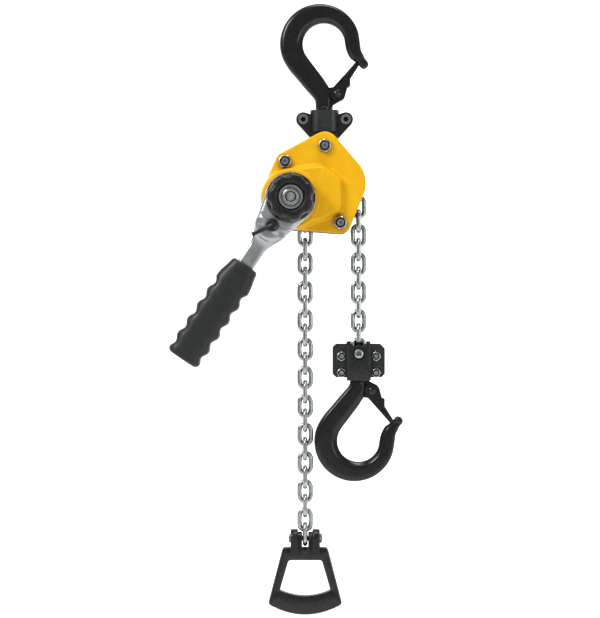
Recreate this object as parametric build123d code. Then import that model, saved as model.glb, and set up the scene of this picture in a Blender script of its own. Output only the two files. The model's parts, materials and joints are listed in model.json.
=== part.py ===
from build123d import *
import os
from math import acos, atan2, cos, degrees, hypot, radians, sin

# A compact ratchet lever hoist, in millimetres.  The origin is the saddle of the top hook, where the
# hoist hangs.  X is right, Z is up and the front, where the handwheel is, faces -Y.

# ---- driving dimensions ----
WIRE = 2.0                      # chain wire radius
PITCH = 12.0                    # chain pitch
LINK_BEND = 4.8                 # radius of a link's end bow, on the wire's centre
LINK_HALF = (PITCH - LINK_BEND) / 2     # half the straight stretch of a link
SHAFT = (-28.3, -149.0)         # drive shaft axis, in X and Z
SHEAVE = (6.2, -143.0)          # load sheave axis
LYING_R = 21.75                 # sheave axis to the centre of a link lying in a pocket
STANDING_R = 23.03              # the same for a link standing in the groove
FALL_R = 22.53                  # the same for the straight falls
POCKET_FLOOR = 17.9
LOAD_X = SHEAVE[0] + FALL_R
SLACK_X = SHEAVE[0] - FALL_R
LOAD_LINKS = (4, 4, 3)          # links of the load fall, in three swinging runs
SLACK_LINKS = (7, 6, 6, 6)      # links of the slack fall, in four swinging runs
SUSPENSION = (0.0, -104.3)      # pin that hangs the housing from the yoke
LEFT_STAY = (-33.3, -117.5)
RIGHT_STAY = (13.2, -168.8)
STAYS = (SUSPENSION, LEFT_STAY, RIGHT_STAY)
STAY_R = 3.0
PLATE_IN = 9.0                  # inner faces of the side plates
PLATE_OUT = 12.0
COVER_WALL = 1.6
OUTLINE = ((0.0, -104.3, 12.0), (-33.3, -117.5, 8.0), (-28.3, -149.0, 25.4),
           (13.2, -168.8, 9.0), (8.6, -135.7, 25.9))
BRAKE_BOSS_Y = -25.0            # front of the round boss over the brake
PLATEAU_Y = -21.0               # front of the flat raised form beside it
REAR_COVER_Y = 24.5
GEAR_Y = (13.0, 20.5)           # the two gears lie between these depths
MODULE = 2.0
PINION_TEETH = 14
LOAD_GEAR_TEETH = 21
RATCHET_TEETH = 16
RATCHET_R = 20.0
LEVER_DIR = (-0.559, -0.829)    # from the drive shaft down the lever
LEVER_ANGLE = degrees(atan2(LEVER_DIR[1], LEVER_DIR[0]))
LEVER_HEAD_R = 21.0
LEVER_Y = (-28.0, -41.0)        # back and front of the lever head
SELECTOR_OUT = 27.8             # selector axis, out along the lever
DETENT_OUT = 37.8               # the selector's detent spring
SHANK_HALF = 7.1                # half the width of the lever's shank
SHANK_END = 122.0
GRIP_START = 67.0
GRIP_END = 161.0
WHEEL_R = 20.5
WHEEL_Y = (-42.0, -56.0)
HOOK_HALF = 6.0                 # half the thickness of a hook
HOOK_BORE = 17.7
HOOK_OUT = 34.0
HOOK_BACK = (-3.3, 0.3)         # centre of the hook's outer round, about its bowl centre
TOP_BOWL = (-0.5, -17.7)        # centre of the top hook's bowl
BOTTOM_BOWL_X = LOAD_X - 0.2    # centre of the bottom hook's bowl
BOTTOM_BOWL_Z = -352.4
STEM_R = 5.5                    # turned stem of either hook
STEM_HEAD_R = 9.0               # its captive head
STEM_HEAD_H = 5.8
BLOCK_PIN_Z = -278.7            # pin through the last load link
BLOCK_FOOT_Z = BLOCK_PIN_Z - 22.5
BLOCK_SEAT_Z = BLOCK_PIN_Z - 14.4       # underside of the bottom hook's captive head
HANDLE_PIN_Z = -434.7           # pin through the last slack link
RUN_FIT = 0.05                  # radial clearance of a pin or shaft in its hole
GAP = 0.3                       # clearance between moving bodies


# ---- drawing helpers ----
def slab(shape, y_back, y_front):
    """An outline drawn in X and Z, made solid from one depth to another nearer the front."""
    plane = Plane(origin=(0, y_back, 0), x_dir=(1, 0, 0), z_dir=(0, -1, 0))
    return extrude(plane * shape, amount=y_back - y_front)


def disc(centre, radius):
    return Pos(centre[0], centre[1]) * Circle(radius)


def rod(centre, radius, y_back, y_front):
    return slab(disc(centre, radius), y_back, y_front)


def ring(centre, outer, inner, y_back, y_front):
    return slab(disc(centre, outer) - disc(centre, inner), y_back, y_front)


def box(x0, x1, y0, y1, z0, z1):
    return Pos((x0 + x1) / 2, (y0 + y1) / 2, (z0 + z1) / 2) * Box(x1 - x0, y1 - y0, z1 - z0)


def hexagon(centre, flats, turn=0.0):
    return Pos(centre[0], centre[1]) * Rot(0, 0, turn) * RegularPolygon(flats / 2, 6, major_radius=False)


def polar(centre, radius, angle):
    a = radians(angle)
    return (centre[0] + radius * cos(a), centre[1] + radius * sin(a))


def outermost(circles, angle):
    """The circle that reaches furthest in one direction."""
    a = radians(angle)
    return max(circles, key=lambda c: c[0] * cos(a) + c[1] * sin(a) + c[2])


def tangent_angle(first, second):
    """The direction in which two neighbouring circles of a hull reach equally far."""
    dx, dz = second[0] - first[0], second[1] - first[1]
    along = degrees(atan2(dz, dx))
    return along - degrees(acos((first[2] - second[2]) / hypot(dx, dz)))


def hull(*circles):
    """The tight outline around circles, each given as x, z and radius, as lines and arcs."""
    order = []
    for angle in range(0, 360):
        circle = outermost(circles, angle + 0.37)
        if not order or order[-1] != circle:
            order.append(circle)
    if len(order) > 1 and order[0] == order[-1]:
        order.pop()
    count = len(order)
    if count == 1:
        return disc(order[0][:2], order[0][2])
    turns = [tangent_angle(order[i], order[(i + 1) % count]) for i in range(count)]
    edges = []
    for i, circle in enumerate(order):
        start, end = turns[i - 1], turns[i]
        sweep_angle = (end - start) % 360
        points = [polar(circle, circle[2], start + sweep_angle * part) for part in (0, 0.5, 1)]
        after = order[(i + 1) % count]
        edges += [ThreePointArc(*points), Line(points[2], polar(after, after[2], end))]
    return make_face(edges)


def on_lever(along, across=0.0):
    """A point given along the lever from the drive shaft, and across it to the lower right."""
    ux, uz = LEVER_DIR
    return (SHAFT[0] + ux * along - uz * across, SHAFT[1] + uz * along + ux * across)


def face_edges(solid, y):
    """The edges of a slab that lie in the face at one depth."""
    near = 0.01
    return solid.edges().filter_by(
        lambda e: abs(e.bounding_box().min.Y - y) < near and abs(e.bounding_box().max.Y - y) < near)


def rounded(solid, depths, radius):
    edges = []
    for y in depths:
        edges += face_edges(solid, y)
    return fillet(edges, radius)


def upright_rod(x, y, z0, z1, radius):
    """A plain vertical cylinder."""
    return Pos(x, y, (z0 + z1) / 2) * Cylinder(radius, abs(z1 - z0))


def coil(centre, y, coil_r, wire_r, pitch, turns, leg=0.0, angle=0.0):
    """A coil of wire about an axis along Y, with one straight leg if it has a length."""
    height = pitch * turns
    path = Helix(pitch, height, coil_r)
    body = sweep(Plane(path @ 0, z_dir=path % 0) * Circle(wire_r), path=path, is_frenet=True)
    if leg > 0:
        body += Plane(path @ 1, z_dir=path % 1) * Pos(0, 0, leg / 2 - wire_r / 2) * Cylinder(wire_r, leg)
    return Pos(centre[0], y, centre[1]) * Rot(0, -angle, 0) * Rot(90, 0, 0) * Pos(0, 0, -height / 2) * body


# ---- chain ----
def link(across):
    """One chain link standing on Z; a link across the view lies in the X-Z plane."""
    plane = Plane.XZ if across else Plane.YZ
    path = Polyline((LINK_BEND, -LINK_HALF), (LINK_BEND, LINK_HALF))
    path += ThreePointArc((LINK_BEND, LINK_HALF), (0, LINK_HALF + LINK_BEND), (-LINK_BEND, LINK_HALF))
    path += Line((-LINK_BEND, LINK_HALF), (-LINK_BEND, -LINK_HALF))
    path += ThreePointArc((-LINK_BEND, -LINK_HALF), (0, -LINK_HALF - LINK_BEND), (LINK_BEND, -LINK_HALF))
    wire = plane * path
    start = plane.from_local_coords(Vector(LINK_BEND, -LINK_HALF, 0))
    return sweep(Plane(start, z_dir=(0, 0, 1)) * Circle(WIRE), path=wire)


def chain_run(x, first_z, count, across_first):
    """Straight links hanging one under another, alternately across and along the view."""
    links = []
    for i in range(count):
        across = (i % 2 == 0) == across_first
        links.append(Pos(x, 0, first_z - i * PITCH) * link(across))
    return Compound(children=links)


def chain_runs(name, x, first_z, counts, across_first):
    runs = {}
    done = 0
    for number, count in enumerate(counts, start=1):
        across = across_first == (done % 2 == 0)
        runs[f"{name}_{number}"] = chain_run(x, first_z - done * PITCH, count, across)
        done += count
    return runs


def sheave_links():
    """The links that lie on the wheel, from the slack side over the top to the load side."""
    links = []
    for step in range(1, 6):
        angle = 30.0 * step
        standing = step % 2 == 1
        x, z = polar(SHEAVE, STANDING_R if standing else LYING_R, angle)
        links.append(Pos(x, 0, z) * Rot(0, -angle, 0) * link(standing))
    links.append(Pos(SHEAVE[0] + LYING_R, 0, SHEAVE[1]) * link(False))
    return Compound(children=links)


# ---- hooks ----
def hook_outline():
    """The hook's flat outline about its bowl centre, with the shank pointing down."""
    heel = polar(HOOK_BACK, HOOK_OUT, 220)
    crown = polar(HOOK_BACK, HOOK_OUT, 110)
    brow = polar(HOOK_BACK, HOOK_OUT, 2)
    bore_end = polar((0, 0), HOOK_BORE, 217)
    path = Line((-7.2, -54.3), (-7.2, -48.0))
    path += Line((-7.2, -48.0), heel)
    path += ThreePointArc(heel, crown, brow)
    path += ThreePointArc(brow, (31.6, -5.2), (34.6, -10.2))
    path += Line((34.6, -10.2), (37.3, -14.4))
    path += ThreePointArc((37.3, -14.4), (36.4, -19.6), (31.2, -19.4))
    path += Line((31.2, -19.4), (23.6, -13.6))
    path += ThreePointArc((23.6, -13.6), (19.3, -6.8), (17.7, 0))
    path += ThreePointArc((17.7, 0), polar((0, 0), HOOK_BORE, 100), bore_end)
    path += Line(bore_end, (4.1, -35.0))
    path += Line((4.1, -35.0), (8.2, -37.2))
    path += ThreePointArc((8.2, -37.2), (17.1, -40.2), (13.8, -47.1))
    path += Line((13.8, -47.1), (7.7, -50.0))
    path += Line((7.7, -50.0), (7.7, -54.3))
    path += Line((7.7, -54.3), (-7.2, -54.3))
    return make_face(path)


LATCH_PIVOT = (11.6, -42.0)     # about the bowl centre, shank down
LATCH_END = (28.6, -15.6)
LATCH_SWEEP = 33.8              # what the gate's end reaches from its pivot, with a gap
OPEN_CHEEK = (8.7, -28.0)       # end of the gate's cheeks when it is fully open


def bore_bevel():
    """Cones that break both edges of the bowl."""
    flare = 2.4
    cone = Cone(HOOK_BORE + flare, HOOK_BORE, flare)
    sides = []
    for side in (1, -1):
        placed = Rot(90 * side, 0, 0) * Pos(0, 0, -HOOK_HALF + flare / 2) * cone
        upper = box(-40, 40, -10, 10, -9.0, 40)
        sides.append(placed & upper)
    return sides[0] + sides[1]


def rim_bevel():
    """What a chamfered disc leaves of a square one, over the hook's crown."""
    square = rod(HOOK_BACK, HOOK_OUT + 0.5, HOOK_HALF + 1, -HOOK_HALF - 1)
    drum = chamfer(rod(HOOK_BACK, HOOK_OUT, HOOK_HALF, -HOOK_HALF).edges().filter_by(GeomType.CIRCLE), 3.0)
    return (square - drum) & box(-40, 40, -10, 10, 0.0, 40)


def hook():
    """A forged hook about its bowl centre, shank down, with the latch's seat and slot."""
    body = slab(hook_outline(), HOOK_HALF, -HOOK_HALF)
    body -= bore_bevel() + rim_bevel()
    seat = hull((*LATCH_PIVOT, 7.2), (22.0, -26.0, 5.0)) + hull((*LATCH_PIVOT, 7.2), (*OPEN_CHEEK, 4.0))
    cheeks = slab(seat, 7.0, 3.6) + slab(seat, -3.6, -7.0)
    slot = rod(LATCH_PIVOT, 5.2, 2.3, -2.3) + slab(hull((*LATCH_PIVOT, 4.5), (20, -34, 3.0)), 2.3, -2.3)
    sweep_of_end = disc(LATCH_PIVOT, LATCH_SWEEP) & (Pos(22.3, -14.5) * Rectangle(12.6, 19))
    groove = slab(hull((*LATCH_END, 2.7), (20.0, -13.0, 2.7), (27.0, -30.0, 2.7)) + sweep_of_end, 2.5, -2.5)
    return body - cheeks - slot - groove - rod(LATCH_PIVOT, 2.0, 7, -7)


def shank(x, z_neck, z_head):
    """The turned stem below a hook's neck, with its captive head."""
    stem = upright_rod(x, 0, z_neck + 0.5, z_head - STEM_HEAD_H, STEM_R)
    collar = upright_rod(x, 0, z_neck + 1.5, z_neck - 0.1, 7.0)
    head = upright_rod(x, 0, z_head, z_head - STEM_HEAD_H, STEM_HEAD_R)
    return stem + head + collar


def latch():
    """The sprung gate: two cheeks on the rivet, a bridge, and a tongue that rests in the hook's tip."""
    arm = hull((*LATCH_PIVOT, 6.5), (18.4, -29.4, 3.4))
    nose = hull((18.4, -29.4, 3.3), (*LATCH_END, 1.9))
    cheeks = slab(arm, 5.6, 3.9) + slab(arm, -3.9, -5.6)
    bridge = slab(hull((19.0, -29.2, 3.2), (20.6, -35.2, 2.0)), 5.6, -5.6)
    tongue = slab(nose, 2.2, -2.2)
    return cheeks + bridge + tongue - rod(LATCH_PIVOT, 2.0 + RUN_FIT, 7, -7)


def latch_rivet():
    ends = rod(LATCH_PIVOT, 3.2, 6.9, 5.9) + rod(LATCH_PIVOT, 3.2, -5.9, -6.9)
    return rod(LATCH_PIVOT, 2.0, 6.2, -6.2) + ends


def latch_spring():
    """A coil around the rivet, its leg towards the gate."""
    return coil(LATCH_PIVOT, 0, 3.2, 0.4, 0.95, 3, 5.5, -8)


def place_top(solid):
    return Pos(TOP_BOWL[0], 0, TOP_BOWL[1]) * solid


def place_bottom(solid):
    """The bottom hook is the same forging turned over."""
    return Pos(BOTTOM_BOWL_X, 0, BOTTOM_BOWL_Z) * Rot(180, 0, 0) * solid


def top_hook_parts():
    stem = shank(0, TOP_BOWL[1] - 54.3, YOKE_HEAD_Z)
    return {
        "top_hook": place_top(hook()) + stem,
        "top_hook_rivet": place_top(latch_rivet()),
        "top_latch": place_top(latch()),
        "top_latch_spring": place_top(latch_spring()),
    }


def bottom_hook_parts():
    x = LOAD_X
    head = upright_rod(x, 0, BLOCK_SEAT_Z, BLOCK_SEAT_Z + STEM_HEAD_H, STEM_HEAD_R)
    stem = upright_rod(x, 0, BLOCK_FOOT_Z - 3.0, BLOCK_SEAT_Z + STEM_HEAD_H, STEM_R)
    above = box(x - 20, x + 20, -10, 10, BLOCK_FOOT_Z - 0.4, BLOCK_PIN_Z)
    return {
        "bottom_hook": place_bottom(hook()) - above + stem + head,
        "bottom_hook_rivet": place_bottom(latch_rivet()),
        "bottom_latch": place_bottom(latch()),
        "bottom_latch_spring": place_bottom(latch_spring()),
    }


# ---- yoke ----
YOKE_TOP = -73.7
YOKE_HEAD_Z = -86.0             # top of the hook stem's captive head
EAR = (18.0, -81.4)


def yoke_outline():
    barrel = Pos(0, -85.35) * Rectangle(24, 23.3)
    ears = Sketch()
    for side in (1, -1):
        ears += hull((side * EAR[0], EAR[1], 6.0), (side * 11.0, -95.0, 2.0), (side * 6.0, -83.0, 4.0))
    return barrel + ears


def yoke_half(front):
    """One half of the cast yoke, parted on the plane of the hooks."""
    flip = -1 if front else 1
    barrel = box(-12, 12, -11, 11, -92.0, YOKE_TOP)
    barrel = fillet(barrel.edges().filter_by(Axis.Z), 7.0)
    foot = box(-12, 12, -PLATE_IN + GAP, PLATE_IN - GAP, -97.0, -91.9)
    ears = slab(yoke_outline(), 6.5, -6.5)
    lug = rod(SUSPENSION, 7.8, PLATE_IN - GAP, -PLATE_IN + GAP)
    lug += box(-7.8, 7.8, -PLATE_IN + GAP, PLATE_IN - GAP, -104.3, -96.0)
    body = barrel + foot + ears + lug
    body -= upright_rod(0, 0, YOKE_TOP + 1, -88.0, STEM_R + RUN_FIT)
    body -= upright_rod(0, 0, YOKE_HEAD_Z + GAP, YOKE_HEAD_Z - STEM_HEAD_H - GAP, STEM_HEAD_R + GAP)
    body -= rod(SUSPENSION, 4.5 + RUN_FIT, 12, -12)
    for side in (1, -1):
        ear = (side * EAR[0], EAR[1])
        body -= rod(ear, 2.5 + RUN_FIT, 12, -12) + rod(ear, 4.6, -3.4, -12)
    keep = box(-30, 30, min(0, 12 * flip), max(0, 12 * flip), -115, -60)
    return body & keep


def yoke_screws():
    """Two socket screws, threaded into the rear half."""
    screws = []
    for side in (1, -1):
        ear = (side * EAR[0], EAR[1])
        screw = rod(ear, 2.5, 6.0, -3.5) + rod(ear, 4.3, -3.4, -7.8)
        screws.append(screw - slab(hexagon(ear, 4.0), -5.2, -8.5))
    return Compound(children=screws)


# ---- housing ----
def plate(side):
    """A steel side plate, bored for the stays, the shaft bush and the sheave bush."""
    y = (PLATE_OUT, PLATE_IN) if side > 0 else (-PLATE_IN, -PLATE_OUT)
    body = slab(inset_outline(0.4), *y)
    for stay in STAYS:
        body -= rod(stay, STAY_R + RUN_FIT, 30, -30)
    body -= rod(SHAFT, 7.0, 30, -30) + rod(SHEAVE, 9.0, 30, -30)
    if side < 0:
        for pivot in PAWL_PIVOTS:
            body -= rod(pivot, PAWL_PIN_R, 30, -30)
    return body


def inset_outline(inset):
    return hull(*[(x, z, r - inset) for x, z, r in OUTLINE])


def cover_holes():
    holes = rod(SUSPENSION, STAY_R + RUN_FIT, 40, -40)
    for stay in STAYS[1:]:
        holes += rod(stay, STAY_R + RUN_FIT, 40, -40)
    return holes


PLATEAU = ((-28.3, -149.0, 25.0), (-3.5, -128.5, 9.0), (8.0, -136.0, 9.0), (7.6, -155.0, 8.5))


def brake_cover_form(shrink):
    """The raised form of the front cover, its flat plateau and its round boss."""
    raised = hull(*[(x, z, r - shrink) for x, z, r in PLATEAU])
    raised &= inset_outline(1.0 + shrink)
    form = slab(raised, -PLATE_OUT, PLATEAU_Y + shrink)
    boss = rod(SHAFT, 23.4 - shrink, -PLATE_OUT, BRAKE_BOSS_Y + shrink)
    return form + boss


def front_cover():
    """A pressed cover: a flange on the plate, a plateau over the pawls and a boss over the brake."""
    sheet = slab(hull(*OUTLINE), -PLATE_OUT, -PLATE_OUT - COVER_WALL)
    body = sheet + brake_cover_form(0) - brake_cover_form(COVER_WALL)
    body -= rod(SHAFT, 16.5, 0, -40)
    return body - cover_holes()


def rear_cover():
    """The gear cover, a pressed pan with a bulge over the two gears."""
    sheet = slab(hull(*OUTLINE), PLATE_OUT + COVER_WALL, PLATE_OUT)
    bulge = hull((*SHAFT, 19.5), (*SHEAVE, 26.0), (*RIGHT_STAY, 8.0)) & inset_outline(0.9)
    hollow = hull((*SHAFT, 17.5), (*SHEAVE, 24.2)) & inset_outline(2.2)
    body = sheet + slab(bulge, REAR_COVER_Y, PLATE_OUT) - slab(hollow, REAR_COVER_Y - COVER_WALL, PLATE_OUT)
    return body - cover_holes()


def stay_bolts():
    """Three through bolts with hexagon heads behind the rear cover."""
    bolts = []
    for stay in STAYS:
        seat = REAR_COVER_Y if stay == RIGHT_STAY else PLATE_OUT + COVER_WALL
        bolt = rod(stay, STAY_R, seat + 0.1, -20.6) + slab(hexagon(stay, 10.0), seat + 4.0, seat)
        bolts.append(bolt - rod(stay, 1.0, -19.9, -21))
    return Compound(children=bolts)


def stay_nuts():
    nuts = []
    for number, stay in enumerate(STAYS):
        nut = slab(hexagon(stay, 10.0, 12 + 17 * number), -13.7, -18.4) + rod(stay, 4.6, -18.3, -19.4)
        nuts.append(nut - rod(stay, STAY_R + RUN_FIT, 0, -30))
    return Compound(children=nuts)


def stay_sleeves():
    """Spacers that keep the plates apart; the top one is the pin that the yoke hangs on."""
    radii = (4.5, 5.2, 3.9)
    sleeves = [ring(s, r, STAY_R + RUN_FIT, PLATE_IN, -PLATE_IN) for s, r in zip(STAYS, radii)]
    return Compound(children=sleeves)


GUIDE_R = 30.6


def chain_guide():
    """A curved guide between the plates that keeps the chain in its pockets."""
    outer = inset_outline(1.2) - disc(SHEAVE, GUIDE_R) - disc(SUSPENSION, 16.8)
    window = hull((*polar(SHEAVE, 20, 40), 0.5), (*polar(SHEAVE, 60, 30), 0.5),
                  (*polar(SHEAVE, 70, 92), 0.5), (*polar(SHEAVE, 60, 152), 0.5),
                  (*polar(SHEAVE, 20, 152), 0.5))
    outer = outer & window
    body = slab(outer, PLATE_IN, -PLATE_IN) - rod(LEFT_STAY, 5.2, 20, -20)
    return Compound(children=body.solids())


def sheave_bushes():
    bushes = [ring(SHEAVE, 9.0, 7.0 + RUN_FIT, PLATE_OUT, PLATE_IN),
              ring(SHEAVE, 9.0, 7.0 + RUN_FIT, -PLATE_IN, -PLATE_OUT)]
    return Compound(children=bushes)


def shaft_bushes():
    bushes = [ring(SHAFT, 7.0, 5.0 + RUN_FIT, PLATE_OUT, PLATE_IN),
              ring(SHAFT, 7.0, 5.0 + RUN_FIT, -PLATE_IN, -PLATE_OUT)]
    return Compound(children=bushes)


# ---- load sheave and gears ----
def load_sheave():
    """The pocketed wheel with its journals; links lie in six pockets and stand in the groove."""
    wheel = rod(SHEAVE, 22.0, 8.2, -8.2)
    wheel -= ring(SHEAVE, 30.0, 15.2, 2.6, -2.6)
    for step in range(6):
        angle = 60.0 * step
        px, pz = polar(SHEAVE, POCKET_FLOOR + 4.6, angle)
        pocket = Pos(px, 0, pz) * Rot(0, -angle, 0) * pocket_tool()
        wheel -= pocket
    shaft = rod(SHEAVE, 7.0, 21.4, -11.8)
    return wheel + shaft


def pocket_tool():
    """A seat for a link that lies flat across the groove."""
    seat = Box(9.2, 14.4, 22.6)
    return fillet(seat.edges().filter_by(Axis.X), 6.6)


def gear(centre, teeth, bore, phase):
    """A spur gear drawn with straight-flanked teeth, a little thin for backlash."""
    pitch_r = MODULE * teeth / 2
    root = pitch_r - 1.25 * MODULE
    tip = pitch_r + MODULE * 0.92
    profile = disc(centre, root)
    step = 360 / teeth
    for i in range(teeth):
        a = phase + i * step
        half = [(root - 0.4, 0.31), (pitch_r, 0.225), (tip, 0.11)]
        points = [polar(centre, r, a - w * step) for r, w in half]
        points += [polar(centre, r, a + w * step) for r, w in reversed(half)]
        profile += make_face(Polyline(*points, close=True))
    return slab(profile, GEAR_Y[1], GEAR_Y[0]) - rod(centre, bore, 40, 0)


def gear_line():
    """The direction from the drive shaft to the sheave."""
    return degrees(atan2(SHEAVE[1] - SHAFT[1], SHEAVE[0] - SHAFT[0]))


def load_gear():
    phase = gear_line() + 180 + 180 / LOAD_GEAR_TEETH
    return gear(SHEAVE, LOAD_GEAR_TEETH, 7.0, phase)


def drive_pinion():
    return gear(SHAFT, PINION_TEETH, 5.0, gear_line())


# ---- drive shaft and brake ----
def drive_shaft():
    """The shaft from the pinion through the brake to the handwheel's nut, waisted beside the chain."""
    body = rod(SHAFT, 5.0, 22.4, -52.0) - ring(SHAFT, 6.0, 4.6, 8.4, -8.4)
    return body - rod(SHAFT, 1.4, -48.0, -52.5)


def brake_hub():
    return rod(SHAFT, 15.5, -12.6, -14.2) + rod(SHAFT, 7.5, -14.2, -20.1) - rod(SHAFT, 5.0, 0, -60)


def brake_linings():
    linings = [ring(SHAFT, 15.5, 7.6, -14.2, -15.3), ring(SHAFT, 15.5, 7.6, -19.0, -20.1)]
    return Compound(children=linings)


def ratchet_disc():
    """A disc with slanted teeth that the two pawls drop into."""
    root = RATCHET_R - 2.2
    step = 360 / RATCHET_TEETH
    profile = disc(SHAFT, root)
    for i in range(RATCHET_TEETH):
        a = i * step
        tooth = [polar(SHAFT, root - 0.6, a), polar(SHAFT, RATCHET_R, a + 0.22 * step),
                 polar(SHAFT, RATCHET_R, a + 0.4 * step), polar(SHAFT, root - 0.6, a + step)]
        profile += make_face(Polyline(*tooth, close=True))
    return slab(profile, -15.3, -19.0) - rod(SHAFT, 7.6, 0, -60)


def change_gear():
    """The brake's pressing flange and the toothed wheel that the lever's pawl drives."""
    flange = rod(SHAFT, 15.5, -20.1, -22.6) + rod(SHAFT, 11.0, -22.6, -29.0)
    root = 12.2
    profile = disc(SHAFT, root)
    for i in range(12):
        a = 30 * i
        tooth = [polar(SHAFT, root - 0.5, a - 9), polar(SHAFT, 14.4, a - 4.5),
                 polar(SHAFT, 14.4, a + 4.5), polar(SHAFT, root - 0.5, a + 9)]
        profile += make_face(Polyline(*tooth, close=True))
    body = flange + slab(profile, -29.0, -36.0) + rod(SHAFT, 9.0, -36.0, -42.6)
    return body - rod(SHAFT, 5.0, 0, -60)


SCALLOPS = tuple(100 - 360 / 7 * i for i in range(7))


def handwheel():
    """The free-chaining knob, with seven finger scallops around its front."""
    back, front = WHEEL_Y
    base = rod(SHAFT, WHEEL_R, back, back - 3.5)
    crown = rod(SHAFT, WHEEL_R - 0.6, back - 3.4, front)
    for angle in SCALLOPS:
        crown -= rod(polar(SHAFT, WHEEL_R + 5.6, angle), 8.2, back - 3.5, front - 1)
    crown -= rod(SHAFT, 11.4, -49.0, front - 1)
    body = rounded(crown, (front,), 1.6) + base
    return body - rod(SHAFT, 9.0, -30, -42.65) - rod(SHAFT, 5.0, 0, -70)


def handwheel_disc():
    return ring(SHAFT, 10.1, 5.0, -49.0, -50.6)


def shaft_nut():
    nut = slab(hexagon(SHAFT, 13.0, 15), -50.6, -54.4) - rod(SHAFT, 5.0, 0, -52.0)
    return nut - rod(SHAFT, 3.9, -51.9, -60)


# ---- brake pawls ----
PAWL_PIVOTS = ((-2.1, -130.6), (2.5, -157.5))
PAWL_PIN_R = 2.5
PAWL_Y = (-15.6, -18.8)


def pawl(pivot, lean):
    """A pawl from its pin to a nose resting just clear of the ratchet's tips."""
    to_shaft = degrees(atan2(SHAFT[1] - pivot[1], SHAFT[0] - pivot[0]))
    reach = hypot(SHAFT[0] - pivot[0], SHAFT[1] - pivot[1]) - RATCHET_R
    nose = polar(pivot, reach - 1.3, to_shaft + lean)
    outline = hull((*pivot, 4.4), (*nose, 0.9))
    outline -= disc(SHAFT, RATCHET_R + GAP)
    return slab(outline, *PAWL_Y) - rod(pivot, PAWL_PIN_R + RUN_FIT, 0, -40)


def pawl_pins():
    pins = [rod(p, PAWL_PIN_R, -9.2, -19.0) for p in PAWL_PIVOTS]
    return Compound(children=pins)


def pawl_springs():
    """A turn of spring wire around each pin, behind its pawl."""
    springs = [coil(pivot, -14.6, PAWL_PIN_R + 0.45, 0.35, 0.8, 1) for pivot in PAWL_PIVOTS]
    return Compound(children=springs)


# ---- lever ----
def lever_head_outline(shrink=0.0):
    return hull((*SHAFT, LEVER_HEAD_R - shrink), (*on_lever(SELECTOR_OUT), 14.0 - shrink))


def lever_arm():
    """The cast lever: a hollow head over the change gear and a flat shank."""
    back, front = LEVER_Y
    head = slab(lever_head_outline(), back, front + 1.5)
    head += slab(lever_head_outline(1.5), back, front)
    half = [(26, 13.0), (39, 9.5), (50, SHANK_HALF), (SHANK_END, SHANK_HALF)]
    edge = [on_lever(along, -w) for along, w in half] + [on_lever(along, w) for along, w in half[::-1]]
    tail = Polyline(*edge, close=True)
    body = head + slab(make_face(tail), -28.0, -35.0)
    cavity = hull((*SHAFT, 15.6), (*on_lever(SELECTOR_OUT), 7.0))
    body -= slab(cavity, -27, -37.2)
    body -= rod(SHAFT, 9.0 + RUN_FIT, 0, -60)
    body -= rod(on_lever(SELECTOR_OUT), 3.5 + RUN_FIT, 0, -60)
    body -= rod(on_lever(DETENT_OUT), 1.9, -29.2, -34.0)
    for rivet in LEVER_RIVETS:
        body -= rod(rivet, 1.75, 0, -60)
    return body


LEVER_RIVETS = tuple(on_lever(along, across) for along in (-15.0, 30.0) for across in (-11.0, 11.0))


def lever_back_plate():
    body = slab(lever_head_outline(0.4), -26.0, -28.0) - rod(SHAFT, 11.0 + RUN_FIT, 0, -60)
    for rivet in LEVER_RIVETS:
        body -= rod(rivet, 1.75, 0, -60)
    return body


def lever_rivets():
    rivets = [rod(r, 1.75, -25.8, -41.3) + rod(r, 2.4, -41.0, -41.8) for r in LEVER_RIVETS]
    return Compound(children=rivets)


GRIP_VALLEYS = (93.0, 107.6, 122.3, 137.0, 151.6)


def grip_outline():
    """The grip seen from the front: a plain upper part, then five finger grooves."""
    body = Sketch()
    outline = [on_lever(GRIP_START, -12.2), on_lever(86.5, -15.4), on_lever(158, -15.4),
               on_lever(GRIP_END, -12.8), on_lever(GRIP_END, 12.8), on_lever(158, 15.4),
               on_lever(86.5, 15.4), on_lever(GRIP_START, 12.2)]
    body += make_face(Polyline(*outline, close=True))
    for along in GRIP_VALLEYS:
        for side in (1, -1):
            body -= disc(on_lever(along, side * 17.6), 4.8)
    return body


def lever_grip():
    """A moulded rubber sleeve over the shank."""
    body = slab(grip_outline(), -19.0, -43.0)
    body = rounded(body, (-19.0, -43.0), 1.2)
    core = [on_lever(GRIP_START - 5, -SHANK_HALF), on_lever(SHANK_END, -SHANK_HALF),
            on_lever(SHANK_END, SHANK_HALF), on_lever(GRIP_START - 5, SHANK_HALF)]
    return body - slab(make_face(Polyline(*core, close=True)), -28.0, -35.0)


SELECTOR_REST = 30.0            # the pointer's angle from the lever's axis


def selector_knob():
    """The round knob on the lever with its pointer; its stem turns the driving pawl."""
    centre = on_lever(SELECTOR_OUT)
    tip = polar(centre, 18.0, LEVER_ANGLE - SELECTOR_REST)
    knob = rod(centre, 5.3, LEVER_Y[1] - GAP, -47.0)
    pointer = slab(hull((*centre, 2.0), (*tip, 1.5)), -44.0, -48.5)
    ball = rod(tip, 2.4, -43.0, -48.5)
    stem = rod(centre, 3.5, -30.0, -44.0)
    return knob + pointer + ball + stem


def selector_pawl():
    """The pawl on the knob's stem, with two short noses that stay clear of the change gear."""
    centre = on_lever(SELECTOR_OUT)
    outline = disc(centre, 4.7)
    for spread in (-28, 28):
        outline += hull((*centre, 2.0), (*polar(centre, 5.7, LEVER_ANGLE + 180 + spread), 0.9))
    return slab(outline, -29.4, -36.6) - rod(centre, 3.5, 0, -60)


def selector_spring():
    """The plunger spring that holds the knob in each position."""
    return coil(on_lever(DETENT_OUT), -31.6, 1.5, 0.3, 0.9, 4)


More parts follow.
